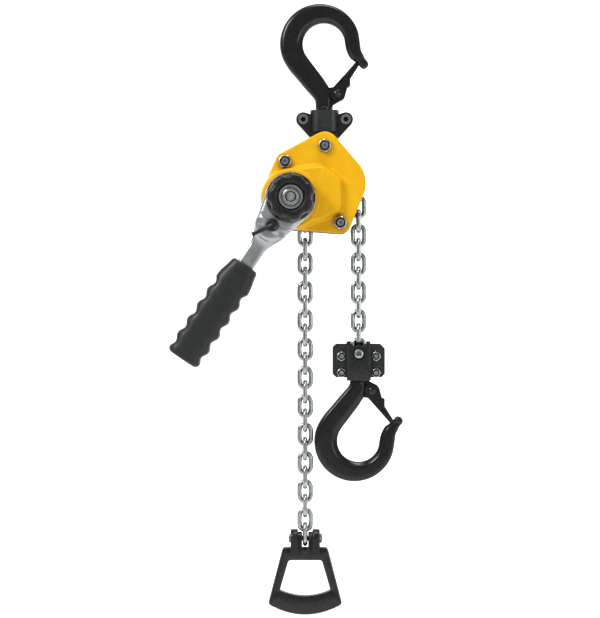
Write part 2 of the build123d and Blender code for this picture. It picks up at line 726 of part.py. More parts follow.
# ---- bottom block ----
BLOCK_SCREWS = tuple((LOAD_X + dx, BLOCK_PIN_Z + dz) for dx in (-14.6, 14.6) for dz in (-2.2, -16.2))
PIN_R = 2.3


def block_outline():
    x, z = LOAD_X, BLOCK_PIN_Z
    ears = [(x - 22, z - 17), (x - 19, z - 20), (x + 19, z - 20), (x + 22, z - 17),
            (x + 22, z + 4.4), (x + 18, z + 8.4), (x - 19, z + 8.4), (x - 22, z + 5.4)]
    plate_face = fillet(make_face(Polyline(*ears, close=True)).vertices(), 1.5)
    return plate_face + Pos(x, BLOCK_FOOT_Z + 14) * Rectangle(20, 28)


def bottom_block_half(front):
    """Half of the swivel block that joins the load chain to the bottom hook."""
    x, z = LOAD_X, BLOCK_PIN_Z
    flip = -1 if front else 1
    body = slab(block_outline(), 6.5, -6.5)
    body += box(x - 10, x + 10, -11.5, 0, BLOCK_FOOT_Z, z + 6.9)
    body += box(x - 10, x + 10, 0, 11.5, BLOCK_FOOT_Z, z + 10.2)
    flare = make_face(Polyline((x - 7.4, z), (x + 7.4, z), (x + 13, z + 12), (x - 13, z + 12), close=True))
    body -= rod((x, z), 7.4, 2.5, -2.5) + slab(flare, 2.5, -2.5)
    body -= box(x - 6.6, x + 6.6, -7.4, 7.4, z + 3.4, z + 20)
    body -= rod((x, z), PIN_R, 20, -20) + rod((x, z), 5.2, -9.5, -20) + rod((x, z), 4.2, 20, 9.5)
    body -= upright_rod(x, 0, BLOCK_FOOT_Z - 4, BLOCK_SEAT_Z + 2, STEM_R + RUN_FIT)
    body -= upright_rod(x, 0, BLOCK_SEAT_Z - GAP, BLOCK_SEAT_Z + STEM_HEAD_H + GAP, STEM_HEAD_R + GAP)
    for screw in BLOCK_SCREWS:
        body -= rod(screw, 2.0, 20, -20)
    keep = box(x - 30, x + 30, min(0, 12 * flip), max(0, 12 * flip), z - 40, z + 40)
    return body & keep


def bottom_block_screws():
    screws = [rod(s, 2.0, 6.6, -10.4) + rod(s, 3.5, 9.6, 6.5) for s in BLOCK_SCREWS]
    return Compound(children=screws)


def bottom_block_nuts():
    nuts = []
    for s in BLOCK_SCREWS:
        nut = slab(hexagon(s, 7.0, 30), -6.5, -9.0) + rod(s, 3.1, -8.9, -9.8)
        nuts.append(nut - rod(s, 2.0, 0, -20))
    return Compound(children=nuts)


def bottom_chain_pin():
    x, z = LOAD_X, BLOCK_PIN_Z
    head = rod((x, z), 3.9, -9.5, -11.8) - slab(hexagon((x, z), 3.0), -10.4, -12)
    return rod((x, z), PIN_R, 11.0, -9.6) + head


# ---- end handle ----
def end_handle():
    """The hand loop on the slack chain's end."""
    x, z = SLACK_X, HANDLE_PIN_Z
    top, low = z - 7.4, z - 55.3
    outer = Polyline((x + 31.7, low), (x + 19.2, top), (x - 19.2, top), (x - 31.7, low))
    outer += ThreePointArc((x - 31.7, low), (x, low - 9.0), (x + 31.7, low))
    inner_top, inner_low = z - 18.4, z - 43.4
    inner = Polyline((x + 21.2, inner_low), (x + 13.9, inner_top), (x - 13.9, inner_top),
                     (x - 21.2, inner_low))
    inner += ThreePointArc((x - 21.2, inner_low), (x, inner_low - 4.8), (x + 21.2, inner_low))
    frame = fillet(make_face(outer).vertices(), 2.5) - fillet(make_face(inner).vertices(), 2.0)
    body = slab(frame, 4.8, -4.8)
    clevis = box(x - 12.4, x + 12.4, -8, 8, z - 14.5, z)
    cheek = Pos(x, 0, z) * Rot(0, 90, 0) * Cylinder(8.0, 24.8)
    body += clevis + cheek
    slot = box(x - 2.6, x + 2.6, -10, 10, z - 6.5, z + 12)
    slot += Pos(x, 0, z - 6.5) * Rot(90, 0, 0) * Cylinder(2.6, 20)
    pin = Pos(x, 0, z) * Rot(0, 90, 0) * Cylinder(PIN_R, 40)
    relief = Pos(x, 0, z) * Rot(0, 90, 0) * (Cylinder(14, 12.4) - Cylinder(5.6, 13))
    relief &= box(x - 8, x + 8, -14, 14, z - 0.5, z + 14)
    return body - slot - pin - relief


def end_handle_bolt():
    x, z = SLACK_X, HANDLE_PIN_Z
    core = Pos(x + 0.7, 0, z) * Rot(0, 90, 0) * Cylinder(PIN_R, 28.0)
    head = Pos(x - 13.2, 0, z) * Rot(0, 90, 0) * Cylinder(3.5, 1.6)
    return core + head


def end_handle_nut():
    x, z = SLACK_X, HANDLE_PIN_Z
    nut = Plane(origin=(x + 12.4, 0, z), z_dir=(1, 0, 0)) * RegularPolygon(3.4, 6, major_radius=False)
    return extrude(nut, amount=1.7) - Pos(x + 13, 0, z) * Rot(0, 90, 0) * Cylinder(PIN_R, 10)


def all_pieces():
    pieces = {}
    pieces.update(top_hook_parts())
    pieces["yoke_front"] = yoke_half(True)
    pieces["yoke_rear"] = yoke_half(False)
    pieces["yoke_screws"] = yoke_screws()
    pieces["side_plate_front"] = plate(-1)
    pieces["side_plate_rear"] = plate(1)
    pieces["cover_front"] = front_cover()
    pieces["cover_rear"] = rear_cover()
    makers = (stay_bolts, stay_nuts, stay_sleeves, chain_guide, sheave_bushes, shaft_bushes, pawl_pins,
              pawl_springs, load_sheave, load_gear, drive_shaft, drive_pinion, brake_hub, brake_linings,
              ratchet_disc, change_gear, handwheel, handwheel_disc, shaft_nut, lever_arm, lever_back_plate,
              lever_rivets, lever_grip, selector_knob, selector_pawl, selector_spring,
              bottom_block_screws, bottom_block_nuts, bottom_chain_pin, end_handle, end_handle_bolt,
              end_handle_nut)
    for maker in makers:
        pieces[maker.__name__] = maker()
    pieces["upper_pawl"] = pawl(PAWL_PIVOTS[0], 22)
    pieces["lower_pawl"] = pawl(PAWL_PIVOTS[1], -22)
    pieces["sheave_chain"] = sheave_links()
    pieces.update(chain_runs("load_chain", LOAD_X, SHEAVE[1] - PITCH, LOAD_LINKS, True))
    pieces.update(chain_runs("slack_chain", SLACK_X, SHEAVE[1], SLACK_LINKS, False))
    pieces["bottom_block_front"] = bottom_block_half(True)
    pieces["bottom_block_rear"] = bottom_block_half(False)
    pieces.update(bottom_hook_parts())
    return pieces


if __name__ == "__main__":
    os.makedirs("parts", exist_ok=True)
    for name, solid in all_pieces().items():
        export_step(solid, f"parts/{name}.step")
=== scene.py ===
import bpy
import bmesh
import json
from math import atan2, cos, degrees, exp, hypot, pi, radians, sin
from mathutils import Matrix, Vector


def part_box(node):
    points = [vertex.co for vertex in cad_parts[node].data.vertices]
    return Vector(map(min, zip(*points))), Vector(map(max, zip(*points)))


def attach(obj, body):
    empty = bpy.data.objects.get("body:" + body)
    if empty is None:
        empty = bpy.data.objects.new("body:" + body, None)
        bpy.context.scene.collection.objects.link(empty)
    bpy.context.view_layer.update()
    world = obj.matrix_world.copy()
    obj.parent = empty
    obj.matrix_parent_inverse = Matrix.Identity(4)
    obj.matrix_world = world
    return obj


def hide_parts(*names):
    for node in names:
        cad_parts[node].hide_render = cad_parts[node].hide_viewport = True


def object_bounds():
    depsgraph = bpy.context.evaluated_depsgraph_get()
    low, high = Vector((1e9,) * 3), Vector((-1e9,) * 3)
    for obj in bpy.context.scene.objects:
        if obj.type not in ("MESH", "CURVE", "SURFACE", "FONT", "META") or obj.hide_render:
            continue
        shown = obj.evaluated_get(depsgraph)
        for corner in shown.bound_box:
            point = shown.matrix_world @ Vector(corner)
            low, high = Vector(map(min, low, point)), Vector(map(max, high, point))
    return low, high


# A compact lever hoist, drawn over its CAD frame.  Metres; X right, Z up, the front faces -Y.

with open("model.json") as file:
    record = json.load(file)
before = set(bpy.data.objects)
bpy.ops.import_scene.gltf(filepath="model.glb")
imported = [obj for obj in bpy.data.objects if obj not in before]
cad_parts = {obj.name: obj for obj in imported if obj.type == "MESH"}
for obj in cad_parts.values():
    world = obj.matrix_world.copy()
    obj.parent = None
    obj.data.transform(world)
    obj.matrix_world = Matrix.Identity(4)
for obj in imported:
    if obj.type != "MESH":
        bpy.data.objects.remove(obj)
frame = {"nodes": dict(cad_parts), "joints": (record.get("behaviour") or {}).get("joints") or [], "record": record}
nodes = frame["nodes"]
cad_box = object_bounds()
joints = {j["name"]: j for j in frame["joints"]}
MM = 0.001
CLOSED = 0.01      # a turned ring below this radius needs no end face


def pivot(joint):
    """A joint's axis in X and Z, in millimetres."""
    x, _, z = joints[joint]["pos_m"]
    return (x / MM, z / MM)


def extent(node):
    """A CAD node's box in millimetres, as low and high corners."""
    low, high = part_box(node)
    return low / MM, high / MM


SHAFT = pivot("drive_turn")
SHEAVE = pivot("sheave_turn")
SELECTOR = pivot("selector_turn")
LEVER_ANGLE = degrees(atan2(SELECTOR[1] - SHAFT[1], SELECTOR[0] - SHAFT[0]))


# ---- geometry helpers, all in millimetres and degrees ----
def polar(centre, radius, angle):
    """The point at a radius and angle about a centre."""
    a = radians(angle)
    return (centre[0] + radius * cos(a), centre[1] + radius * sin(a))


def on_lever(along, across):
    """A point along the lever from the drive shaft, and across it to the lower right."""
    a = radians(LEVER_ANGLE)
    return (SHAFT[0] + cos(a) * along - sin(a) * across,
            SHAFT[1] + sin(a) * along + cos(a) * across)


def smooth_step(low, high, value):
    """0 below low, 1 above high, and a smooth rise between."""
    t = min(1.0, max(0.0, (value - low) / (high - low)))
    return t * t * (3 - 2 * t)


def convex(points):
    """The convex outline of scattered points, anticlockwise."""
    points = sorted(set(points))
    chains = []
    for run in (points, points[::-1]):
        chain = []
        for p in run:
            while len(chain) > 1 and turn(chain[-2], chain[-1], p) <= 0:
                chain.pop()
            chain.append(p)
        chains.append(chain[:-1])
    return chains[0] + chains[1]


def turn(a, b, c):
    """Positive where a, b and c turn to the left."""
    return (b[0] - a[0]) * (c[1] - a[1]) - (b[1] - a[1]) * (c[0] - a[0])


def hull(*circles, steps=96):
    """The outline around circles, each given as x, z and radius."""
    return convex([polar(c[:2], c[2], 360 * i / steps) for c in circles for i in range(steps)])


def new_piece(name, bm, smooth_angle):
    """A finished mesh object, in metres, shaded smooth with its sharp edges kept."""
    bmesh.ops.remove_doubles(bm, verts=bm.verts, dist=1e-4)
    bmesh.ops.recalc_face_normals(bm, faces=bm.faces)
    bmesh.ops.scale(bm, vec=(MM, MM, MM), verts=bm.verts)
    for face in bm.faces:
        face.smooth = True
    for edge in bm.edges:
        edge.smooth = len(edge.link_faces) == 2 and edge.calc_face_angle(0) < radians(smooth_angle)
    mesh = bpy.data.meshes.new(name)
    bm.to_mesh(mesh)
    bm.free()
    piece = bpy.data.objects.new(name, mesh)
    bpy.context.scene.collection.objects.link(piece)
    return piece


def place(piece, body, node, material):
    """Ride a piece on a body in place of its CAD node, with its finish."""
    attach(piece, body)
    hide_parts(node)
    piece.data.materials.clear()
    piece.data.materials.append(material)
    return piece


def add_slab(bm, outline, y_back, y_front, radius, segments=3):
    """An outline in X and Z made solid between two depths, its rims rounded."""
    back = [bm.verts.new((x, y_back, z)) for x, z in outline]
    front = [bm.verts.new((x, y_front, z)) for x, z in outline]
    count = len(outline)
    made = [bm.faces.new(front), bm.faces.new(back[::-1])]
    for i in range(count):
        j = (i + 1) % count
        made.append(bm.faces.new((back[i], back[j], front[j], front[i])))
    rims = list(made[0].edges) + list(made[1].edges)
    if radius > 0:
        bmesh.ops.bevel(bm, geom=rims, offset=radius, segments=segments, profile=0.5, affect="EDGES")


def add_turned(bm, centre, profile, steps, wave=None):
    """A turned form about an axis along Y, from (radius, y) pairs; wave takes depth off the radius."""
    rings = []
    for k, (radius, y) in enumerate(profile):
        ring = []
        for i in range(steps):
            angle = 360 * i / steps
            r = radius - (wave(angle, k) if wave else 0)
            x, z = polar(centre, r, angle)
            ring.append(bm.verts.new((x, y, z)))
        rings.append(ring)
    for a, b in zip(rings, rings[1:]):
        for i in range(steps):
            j = (i + 1) % steps
            bm.faces.new((a[i], a[j], b[j], b[i]))
    if profile[0][0] > CLOSED:
        bm.faces.new(rings[0])
    if profile[-1][0] > CLOSED:
        bm.faces.new(rings[-1][::-1])


def add_loft(bm, rings, closed_ends=True):
    """Rings of equal count joined into a skin."""
    made = [[bm.verts.new(p) for p in ring] for ring in rings]
    count = len(made[0])
    for a, b in zip(made, made[1:]):
        for i in range(count):
            j = (i + 1) % count
            bm.faces.new((a[i], a[j], b[j], b[i]))
    if closed_ends:
        bm.faces.new(made[0])
        bm.faces.new(made[-1][::-1])


def squared(value, power):
    """A cosine or sine pushed towards a square corner, keeping its sign."""
    return (abs(value) ** power) * (1 if value > 0 else -1)


def catmull(rows, per_span):
    """A smooth run through rows of numbers."""
    out = []
    for i in range(len(rows) - 1):
        p0, p1 = rows[max(i - 1, 0)], rows[i]
        p2, p3 = rows[i + 1], rows[min(i + 2, len(rows) - 1)]
        for k in range(per_span):
            t = k / per_span
            out.append([0.5 * (2 * b + (c - a) * t + (2 * a - 5 * b + 4 * c - d) * t * t
                               + (3 * b - a - 3 * c + d) * t ** 3)
                        for a, b, c, d in zip(p0, p1, p2, p3)])
    out.append(list(rows[-1]))
    return out


# ---- materials ----
class Nodes:
    """A short way to wire a material's nodes."""

    NOISE_RANGE = (0.3, 0.7)       # where most of a noise's values lie
    CREVICE_RANGE = (0.25, 0.85)   # ambient occlusion taken as closed in, and as open
    EDGE_MARK_BAND = 0.08               # how far pointiness climbs from a plain face to a fully marked edge (wear, and on plated metal a painted highlight)
    EDGE_MARK_PATCHES = 900
    SHADE_SAMPLES = 32

    def __init__(self, name):
        self.material = bpy.data.materials.new(name)
        self.material.use_nodes = True
        self.tree = self.material.node_tree
        self.shader = self.tree.nodes["Principled BSDF"]

    def add(self, kind, **values):
        node = self.tree.nodes.new(kind)
        for key, value in values.items():
            if key in node.inputs:
                node.inputs[key].default_value = value
            else:
                setattr(node, key, value)
        return node

    def link(self, source, target):
        self.tree.links.new(source, target)

    def noise(self, scale, detail=4.0, roughness=0.55, stretch=(1, 1, 1)):
        """A noise in the object's own space, stretched along its axes if asked."""
        place_node = self.add("ShaderNodeTexCoord")
        mapping = self.add("ShaderNodeMapping")
        mapping.inputs["Scale"].default_value = stretch
        noise = self.add("ShaderNodeTexNoise", Scale=scale, Detail=detail, Roughness=roughness)
        self.link(place_node.outputs["Object"], mapping.inputs["Vector"])
        self.link(mapping.outputs["Vector"], noise.inputs["Vector"])
        return noise.outputs["Fac"]

    def ramp(self, factor, low, high, colour_low, colour_high):
        """A factor turned into a run between two colours."""
        ramp = self.add("ShaderNodeValToRGB")
        ramp.color_ramp.elements[0].position = low
        ramp.color_ramp.elements[1].position = high
        ramp.color_ramp.elements[0].color = (*colour_low, 1)
        ramp.color_ramp.elements[1].color = (*colour_high, 1)
        self.link(factor, ramp.inputs["Fac"])
        return ramp.outputs["Color"]

    def spread(self, factor, low, high):
        """A factor stretched onto a range of numbers."""
        return self.map_range(factor, self.NOISE_RANGE, (low, high))

    def map_range(self, value, from_range, to_range=(0.0, 1.0)):
        """A number carried from one range onto another."""
        node = self.add("ShaderNodeMapRange")
        node.inputs["From Min"].default_value = from_range[0]
        node.inputs["From Max"].default_value = from_range[1]
        node.inputs["To Min"].default_value = to_range[0]
        node.inputs["To Max"].default_value = to_range[1]
        self.link(value, node.inputs["Value"])
        return node.outputs["Result"]


    def bump(self, heights):
        """Bumps given as height sockets with a distance in metres each, one over another."""
        previous = None
        for height, distance, strength in heights:
            node = self.add("ShaderNodeBump", Distance=distance, Strength=strength)
            self.link(height, node.inputs["Height"])
            if previous:
                self.link(previous, node.inputs["Normal"])
            previous = node.outputs["Normal"]
        self.link(previous, self.shader.inputs["Normal"])

    def crevice_dirt_and_shade(self, base, distance, dark):
        """A colour darkened where the surface is closed in: painted shade, with some dirt gathered there too."""
        shade = self.add("ShaderNodeAmbientOcclusion", Distance=distance)
        shade.samples = self.SHADE_SAMPLES
        factor = self.map_range(shade.outputs["AO"], self.CREVICE_RANGE)
        mix = self.add("ShaderNodeMix", data_type="RGBA")
        self.link(factor, mix.inputs["Factor"])
        mix.inputs["A"].default_value = (*dark, 1)
        self.link(base, mix.inputs["B"])
        return mix.outputs["Result"]

    def edge_wear_and_highlight(self, base, edge_colour, amount, least=0.0):
        """Edges turned to another colour, broken up by noise down to a least amount: wear on most finishes, and a
        painted highlight on plated metal given bright edges.
        """
        geometry = self.add("ShaderNodeNewGeometry")
        edge_mask = self.map_range(geometry.outputs["Pointiness"], (amount, amount + self.EDGE_MARK_BAND))
        patch = self.spread(self.noise(self.EDGE_MARK_PATCHES), least, 1.0)
        both = self.add("ShaderNodeMath", operation="MULTIPLY")
        self.link(edge_mask, both.inputs[0])
        self.link(patch, both.inputs[1])
        mix = self.add("ShaderNodeMix", data_type="RGBA")
        self.link(both.outputs[0], mix.inputs["Factor"])
        self.link(base, mix.inputs["A"])
        mix.inputs["B"].default_value = (*edge_colour, 1)
        self.link(mix.outputs["Result"], self.shader.inputs["Base Color"])


def yellow_enamel():
    """Baked enamel over pressed steel: a slight orange peel, its colour deepened in its corners by painted shade
    and some dirt.
    """
    n = Nodes("yellow_enamel")
    base = n.ramp(n.noise(90), 0.3, 0.7, (0.80, 0.425, 0.0), (0.86, 0.465, 0.0))
    # painted shade, with some dirt, deepens the yellow where the covers close in
    base = n.crevice_dirt_and_shade(base, 0.004, (0.33, 0.13, 0.0))
    n.edge_wear_and_highlight(base, (0.96, 0.66, 0.10), 0.57)
    n.link(n.spread(n.noise(240), 0.34, 0.44), n.shader.inputs["Roughness"])
    n.shader.inputs["Specular IOR Level"].default_value = 0.35
    n.bump([(n.noise(700, 3), 0.00005, 0.4), (n.noise(60), 0.0002, 0.15)])
    return n.material


def black_steel(name, low, high, edge_colour, rough, coarse):
    """Blackened or painted iron: mottled, a little rough, its edges grey with wear; coarse scales its grain."""
    n = Nodes(name)
    base = n.ramp(n.noise(120, 6), 0.35, 0.7, low, high)
    n.edge_wear_and_highlight(base, edge_colour, 0.57)
    n.link(n.spread(n.noise(420, 6), rough - 0.05, rough + 0.07), n.shader.inputs["Roughness"])
    n.bump([(n.noise(1500, 3), 0.00002 * coarse, 0.2), (n.noise(260, 3), 0.00008 * coarse, 0.25)])
    return n.material


def plated(name, low, high, rough, stretch=(1, 1, 1), scale=160, edges=None, reach=0.003):
    """Plated or brushed metal with streaks and smudges, darkened in its creases and hollows by painted shade and
    some dirt, its edges lit by a painted highlight if given.
    """
    n = Nodes(name)
    base = n.ramp(n.noise(scale, 5, 0.6, stretch), 0.3, 0.72, low, high)
    # painted shade, with some dirt, darkens closed-in places nearly to black
    base = n.crevice_dirt_and_shade(base, reach, tuple(0.04 * c for c in low))
    if edges:
        # plated metal's edges are lit with a bright painted highlight
        n.edge_wear_and_highlight(base, edges, 0.512, 0.8)
    else:
        n.link(base, n.shader.inputs["Base Color"])
    n.shader.inputs["Metallic"].default_value = 1.0
    smudges = n.spread(n.noise(scale * 2, 4, 0.5, stretch), rough - 0.05, rough + 0.07)
    n.link(smudges, n.shader.inputs["Roughness"])
    n.bump([(n.noise(scale * 4, 3, 0.5, stretch), 0.00001, 0.25)])
    return n.material


def moulded(name, low, high, rough, grain, depth):
    """Moulded rubber or plastic with a fine grain."""
    n = Nodes(name)
    base = n.ramp(n.noise(150, 5), 0.3, 0.7, low, high)
    n.edge_wear_and_highlight(base, tuple(2.4 * c for c in high), 0.6)
    n.link(n.spread(n.noise(300, 5), rough - 0.06, rough + 0.08), n.shader.inputs["Roughness"])
    n.bump([(n.noise(grain, 3), depth, 0.5), (n.noise(90), 0.0003, 0.12)])
    return n.material


MATERIALS = {
    "yellow_paint": yellow_enamel(),
    "black_forging": black_steel("black_forging", (0.0030, 0.0036, 0.0032), (0.0065, 0.0075, 0.0068),
                                 (0.045, 0.048, 0.045), 0.22, 0.5),
    "black_paint": black_steel("black_paint", (0.0035, 0.0042, 0.0042), (0.0075, 0.0085, 0.0087),
                               (0.05, 0.053, 0.055), 0.30, 0.5),
    "zinc": plated("zinc_plate", (0.38, 0.405, 0.41), (0.52, 0.55, 0.555), 0.25),
    # zinc_nut: a darker base whose edges are lit by a near-white painted highlight
    "zinc_nut": plated("zinc_nut", (0.27, 0.29, 0.295), (0.33, 0.355, 0.36), 0.28, scale=200,
                       edges=(0.92, 0.93, 0.93)),
    # zinc_disc: its short reach paints shade into the groove around the nut, so the hexagon shows dark
    "zinc_disc": plated("zinc_disc", (0.50, 0.53, 0.535), (0.56, 0.59, 0.595), 0.34, reach=0.0022),
    "cast_lever": plated("cast_lever", (0.34, 0.365, 0.375), (0.60, 0.63, 0.64), 0.33, scale=38),
    "black_rubber": moulded("black_rubber", (0.0075, 0.009, 0.0088), (0.012, 0.0145, 0.014), 0.42,
                            1500, 0.00004),
    "black_plastic": moulded("black_plastic", (0.003, 0.0033, 0.0033), (0.006, 0.0064, 0.0064), 0.33,
                             1900, 0.00002),
    "handle_plastic": moulded("handle_plastic", (0.0035, 0.004, 0.0038), (0.007, 0.008, 0.0075), 0.30,
                              1300, 0.00003),
    # black_screw: its lighter edges are a painted highlight
    "black_screw": plated("black_screw", (0.035, 0.037, 0.037), (0.06, 0.062, 0.062), 0.36,
                          edges=(0.3, 0.31, 0.31)),
    "steel": plated("turned_steel", (0.22, 0.23, 0.24), (0.42, 0.43, 0.44), 0.34, (1, 8, 1)),
    "bronze": plated("sintered_bronze", (0.40, 0.25, 0.10), (0.62, 0.42, 0.18), 0.45),
    "lining": moulded("friction_lining", (0.05, 0.035, 0.025), (0.12, 0.09, 0.06), 0.8, 900, 0.0002),
}


# ---- housing ----
STAYS = ((0.0, -104.3), (-33.3, -117.5), (13.2, -168.8))
SHOULDER = (8.6, -135.7)         # the centre of the outline's round right side
OUTLINE = hull((*STAYS[0], 12.0), (*STAYS[1], 8.0), (*SHAFT, 25.4), (*STAYS[2], 9.0), (*SHOULDER, 25.9))
COVER_WALL = 1.6
COVER_CENTRE = (-6.0, -137.0)    # the covers' meshes fan out from here
COVER_SPOKES, COVER_RINGS = 288, 76
RIM_BAND, RIM_DROP = 0.9, 0.55   # the rounding of the covers' rims

PLATEAU = hull((*SHAFT, 24.0), (-3.5, -128.5, 7.0), (7.2, -137.0, 7.0), (7.2, -154.0, 7.0), steps=40)
PLATEAU_RISE, STEP_RISE, BOSS_RISE = 7.4, 8.6, 11.4
BOSS_HOLE_R = 16.2
REAR_BULGE = hull((*SHAFT, 20.3), (*SHEAVE, 26.6), (*STAYS[2], 9.0), steps=40)
REAR_RISE = 10.8


def inside_hull(point, outline):
    """How far a point lies inside a convex anticlockwise outline."""
    best = 1e9
    count = len(outline)
    for i in range(count):
        a, b = outline[i], outline[(i + 1) % count]
        length = hypot(b[0] - a[0], b[1] - a[1])
        best = min(best, turn(a, b, point) / length)
    return best


def pressed_cover(name, height, y_rest, sign, hole_r=0.0):
    """A sheet pressed from the housing's outline, as high as height says, with a hole about the shaft."""
    bm = bmesh.new()
    rows = []
    for i in range(COVER_SPOKES):
        angle = 360 * i / COVER_SPOKES
        reach = ray_reach(COVER_CENTRE, angle, OUTLINE)
        row = []
        for k in range(1, COVER_RINGS + 1):
            x, z = polar(COVER_CENTRE, reach * (k / COVER_RINGS), angle)
            from_rim = reach * (1 - k / COVER_RINGS)
            rounding = RIM_DROP * max(0.0, 1 - from_rim / RIM_BAND) ** 2
            row.append(bm.verts.new((x, y_rest + sign * (COVER_WALL + height((x, z)) - rounding), z)))
        x, z = polar(COVER_CENTRE, reach, angle)
        row.append(bm.verts.new((x, y_rest, z)))
        rows.append(row)
    hub_y = y_rest + sign * (COVER_WALL + height(COVER_CENTRE))
    hub = bm.verts.new((COVER_CENTRE[0], hub_y, COVER_CENTRE[1]))
    for i in range(COVER_SPOKES):
        a, b = rows[i], rows[(i + 1) % COVER_SPOKES]
        bm.faces.new((hub, a[0], b[0]))
        for k in range(COVER_RINGS):
            bm.faces.new((a[k], a[k + 1], b[k + 1], b[k]))
    gone = [f for f in bm.faces if from_shaft(f.calc_center_median().xz) < hole_r]
    bmesh.ops.delete(bm, geom=gone, context="FACES")
    return new_piece(name, bm, 50)


def from_shaft(point):
    """A point's distance from the drive shaft's axis."""
    return hypot(point[0] - SHAFT[0], point[1] - SHAFT[1])


def ray_reach(centre, angle, outline):
    """The distance from a point inside a convex outline to its edge, in one direction."""
    dx, dz = cos(radians(angle)), sin(radians(angle))
    best = 1e9
    count = len(outline)
    for i in range(count):
        a, b = outline[i], outline[(i + 1) % count]
        ex, ez = b[0] - a[0], b[1] - a[1]
        cross = dx * ez - dz * ex
        if cross > 1e-9:
            best = min(best, ((a[0] - centre[0]) * ez - (a[1] - centre[1]) * ex) / cross)
    return best


def front_height(point):
    """The plateau beside the brake, the step around the boss, and the boss."""
    plateau = PLATEAU_RISE * smooth_step(-3.2, 1.4, inside_hull(point, PLATEAU))
    step = STEP_RISE * (1 - smooth_step(24.0, 27.6, from_shaft(point)))
    boss = BOSS_RISE * (1 - smooth_step(20.6, 23.2, from_shaft(point)))
    return max(plateau, step, boss)


def rear_height(point):
    """The bulge over the two gears and its lip at the lower stay."""
    return REAR_RISE * smooth_step(0.0, 3.4, inside_hull(point, REAR_BULGE))


def covers():
    """The front and rear covers, each resting on its side plate."""
    y_front = extent("side_plate_front")[0].y
    y_rear = extent("side_plate_rear")[1].y
    front = pressed_cover("front_cover_shell", front_height, y_front, -1, BOSS_HOLE_R)
    place(front, "housing", "cover_front", MATERIALS["yellow_paint"])
    rear = pressed_cover("rear_cover_shell", rear_height, y_rear, 1)
    place(rear, "housing", "cover_rear", MATERIALS["yellow_paint"])


def add_nut(bm, centre, flats, turned, y_back, y_front, bore, collar):
    """A hexagon nut with chamfered corners, a low round collar on it, and a blind bore."""
    face = flats / 2
    uncut = 2 * face
    profile = [(uncut, y_back + 0.01), (uncut, y_front + 1.3), (face + 0.62, y_front + 0.55),
               (face + 0.1, y_front + 0.18), (face - 0.35, y_front)]
    top = y_front - collar
    profile += [(face - 0.4, y_front), (face - 0.42, top + 0.3), (face - 0.62, top)]
    profile += [(bore + 0.25, top), (bore, top + 0.25), (bore, top + 2.6)]
    rings = []
    for radius, y in profile:
        ring = []
        for angle in range(0, 360, 5):
            to_flat = (angle + 30) % 60 - 30
            limit = face / cos(radians(to_flat))
            x, z = polar(centre, min(radius, limit), angle + turned)
            ring.append((x, y, z))
        rings.append(ring)
    add_loft(bm, rings)


def stays():
    """The three through bolts' nuts."""
    low, high = extent("stay_nuts")
    bm = bmesh.new()
    for number, spot in enumerate(STAYS):
        add_nut(bm, spot, 10.0, 12 + 17 * number, high.y, low.y + 1.0, 4.05, 1.0)
    nuts = new_piece("stay_nut_set", bm, 30)
    place(nuts, "housing", "stay_nuts", MATERIALS["zinc_nut"])


def block_nuts():
    """The four nuts of the bottom block, one in each corner of their CAD node's box."""
    low, high = extent("bottom_block_nuts")
    flats = 7.0
    face, corner = flats / 2, flats / 2 / cos(radians(30))
    left, right = low.x + face, high.x - face
    bottom, top = low.z + corner, high.z - corner
    bm = bmesh.new()
    for number, spot in enumerate(((left, top), (right, top), (left, bottom), (right, bottom))):
        add_nut(bm, spot, flats, 11 * number, high.y, low.y + 0.8, 2.75, 0.8)
    nuts = new_piece("block_nut_set", bm, 30)
    place(nuts, "bottom_block", "bottom_block_nuts", MATERIALS["zinc_nut"])


def chain_pin():
    """The pin through the last link, with a socket in its round head."""
    low, high = extent("bottom_chain_pin")
    spot = ((low.x + high.x) / 2, (low.z + high.z) / 2)
    shank, head, socket, seat_y = 2.3, 3.9, 2.0, -9.6
    bm = bmesh.new()
    add_turned(bm, spot, [(shank - 0.3, high.y), (shank, high.y - 0.3), (shank, seat_y), (head, seat_y),
                          (head, low.y + 0.7), (head - 0.3, low.y + 0.2), (head - 0.8, low.y),
                          (socket + 0.3, low.y), (socket, low.y + 0.3), (socket, low.y + 1.4),
                          (0.0, low.y + 1.5)], 48)
    pin = new_piece("chain_pin", bm, 30)
    place(pin, "bottom_block", "bottom_chain_pin", MATERIALS["zinc_nut"])


# ---- hooks, drawn upright about the centre of their bowl ----
BOWL_R = 17.7
BACK_CENTRE, BACK_R = (-3.3, 0.3), 34
NECK_Z = -54.3
LATCH_PIVOT = (11.6, -42.0)
LATCH_BEND = (18.4, -29.4, 3.2)
LATCH_END = (28.6, -15.6, 1.9)

# Outer and inner X and Z, and half the thickness: up the neck, then from the bowl to the tip's ball.
NECK_ROWS = [(-7.2, -54.2, 7.6, -54.2, 5.6), (-7.2, -50.4, 7.6, -50.4, 5.8), (-8.6, -46.0, 7.0, -41.6, 6.0),
             (-15.6, -38.0, 0.4, -30.2, 6.0), (-22.6, -29.6, -6.4, -21.0, 6.0)]
TIP_ROWS = [(31.6, -5.0, 19.0, -5.4, 5.2), (33.5, -9.0, 22.0, -11.4, 4.8), (34.7, -11.8, 25.8, -14.4, 4.1),
            (36.2, -13.6, 28.6, -16.2, 3.7), (37.5, -15.6, 30.0, -18.2, 4.1), (37.6, -17.8, 31.6, -20.0, 3.6),
            (36.3, -19.8, 33.4, -20.9, 1.7)]
# The angles of the outer and inner points around the bowl, and half the thickness there.
BOWL_ROWS = ((218, 214, 6.0), (198, 194, 6.0), (178, 174, 6.0), (158, 154, 6.0), (138, 134, 6.0),
             (118, 114, 6.0), (98, 94, 6.0), (78, 75, 6.0), (58, 56, 5.9), (38, 37, 5.8),
             (20, 19, 5.6), (3, 2, 5.4))
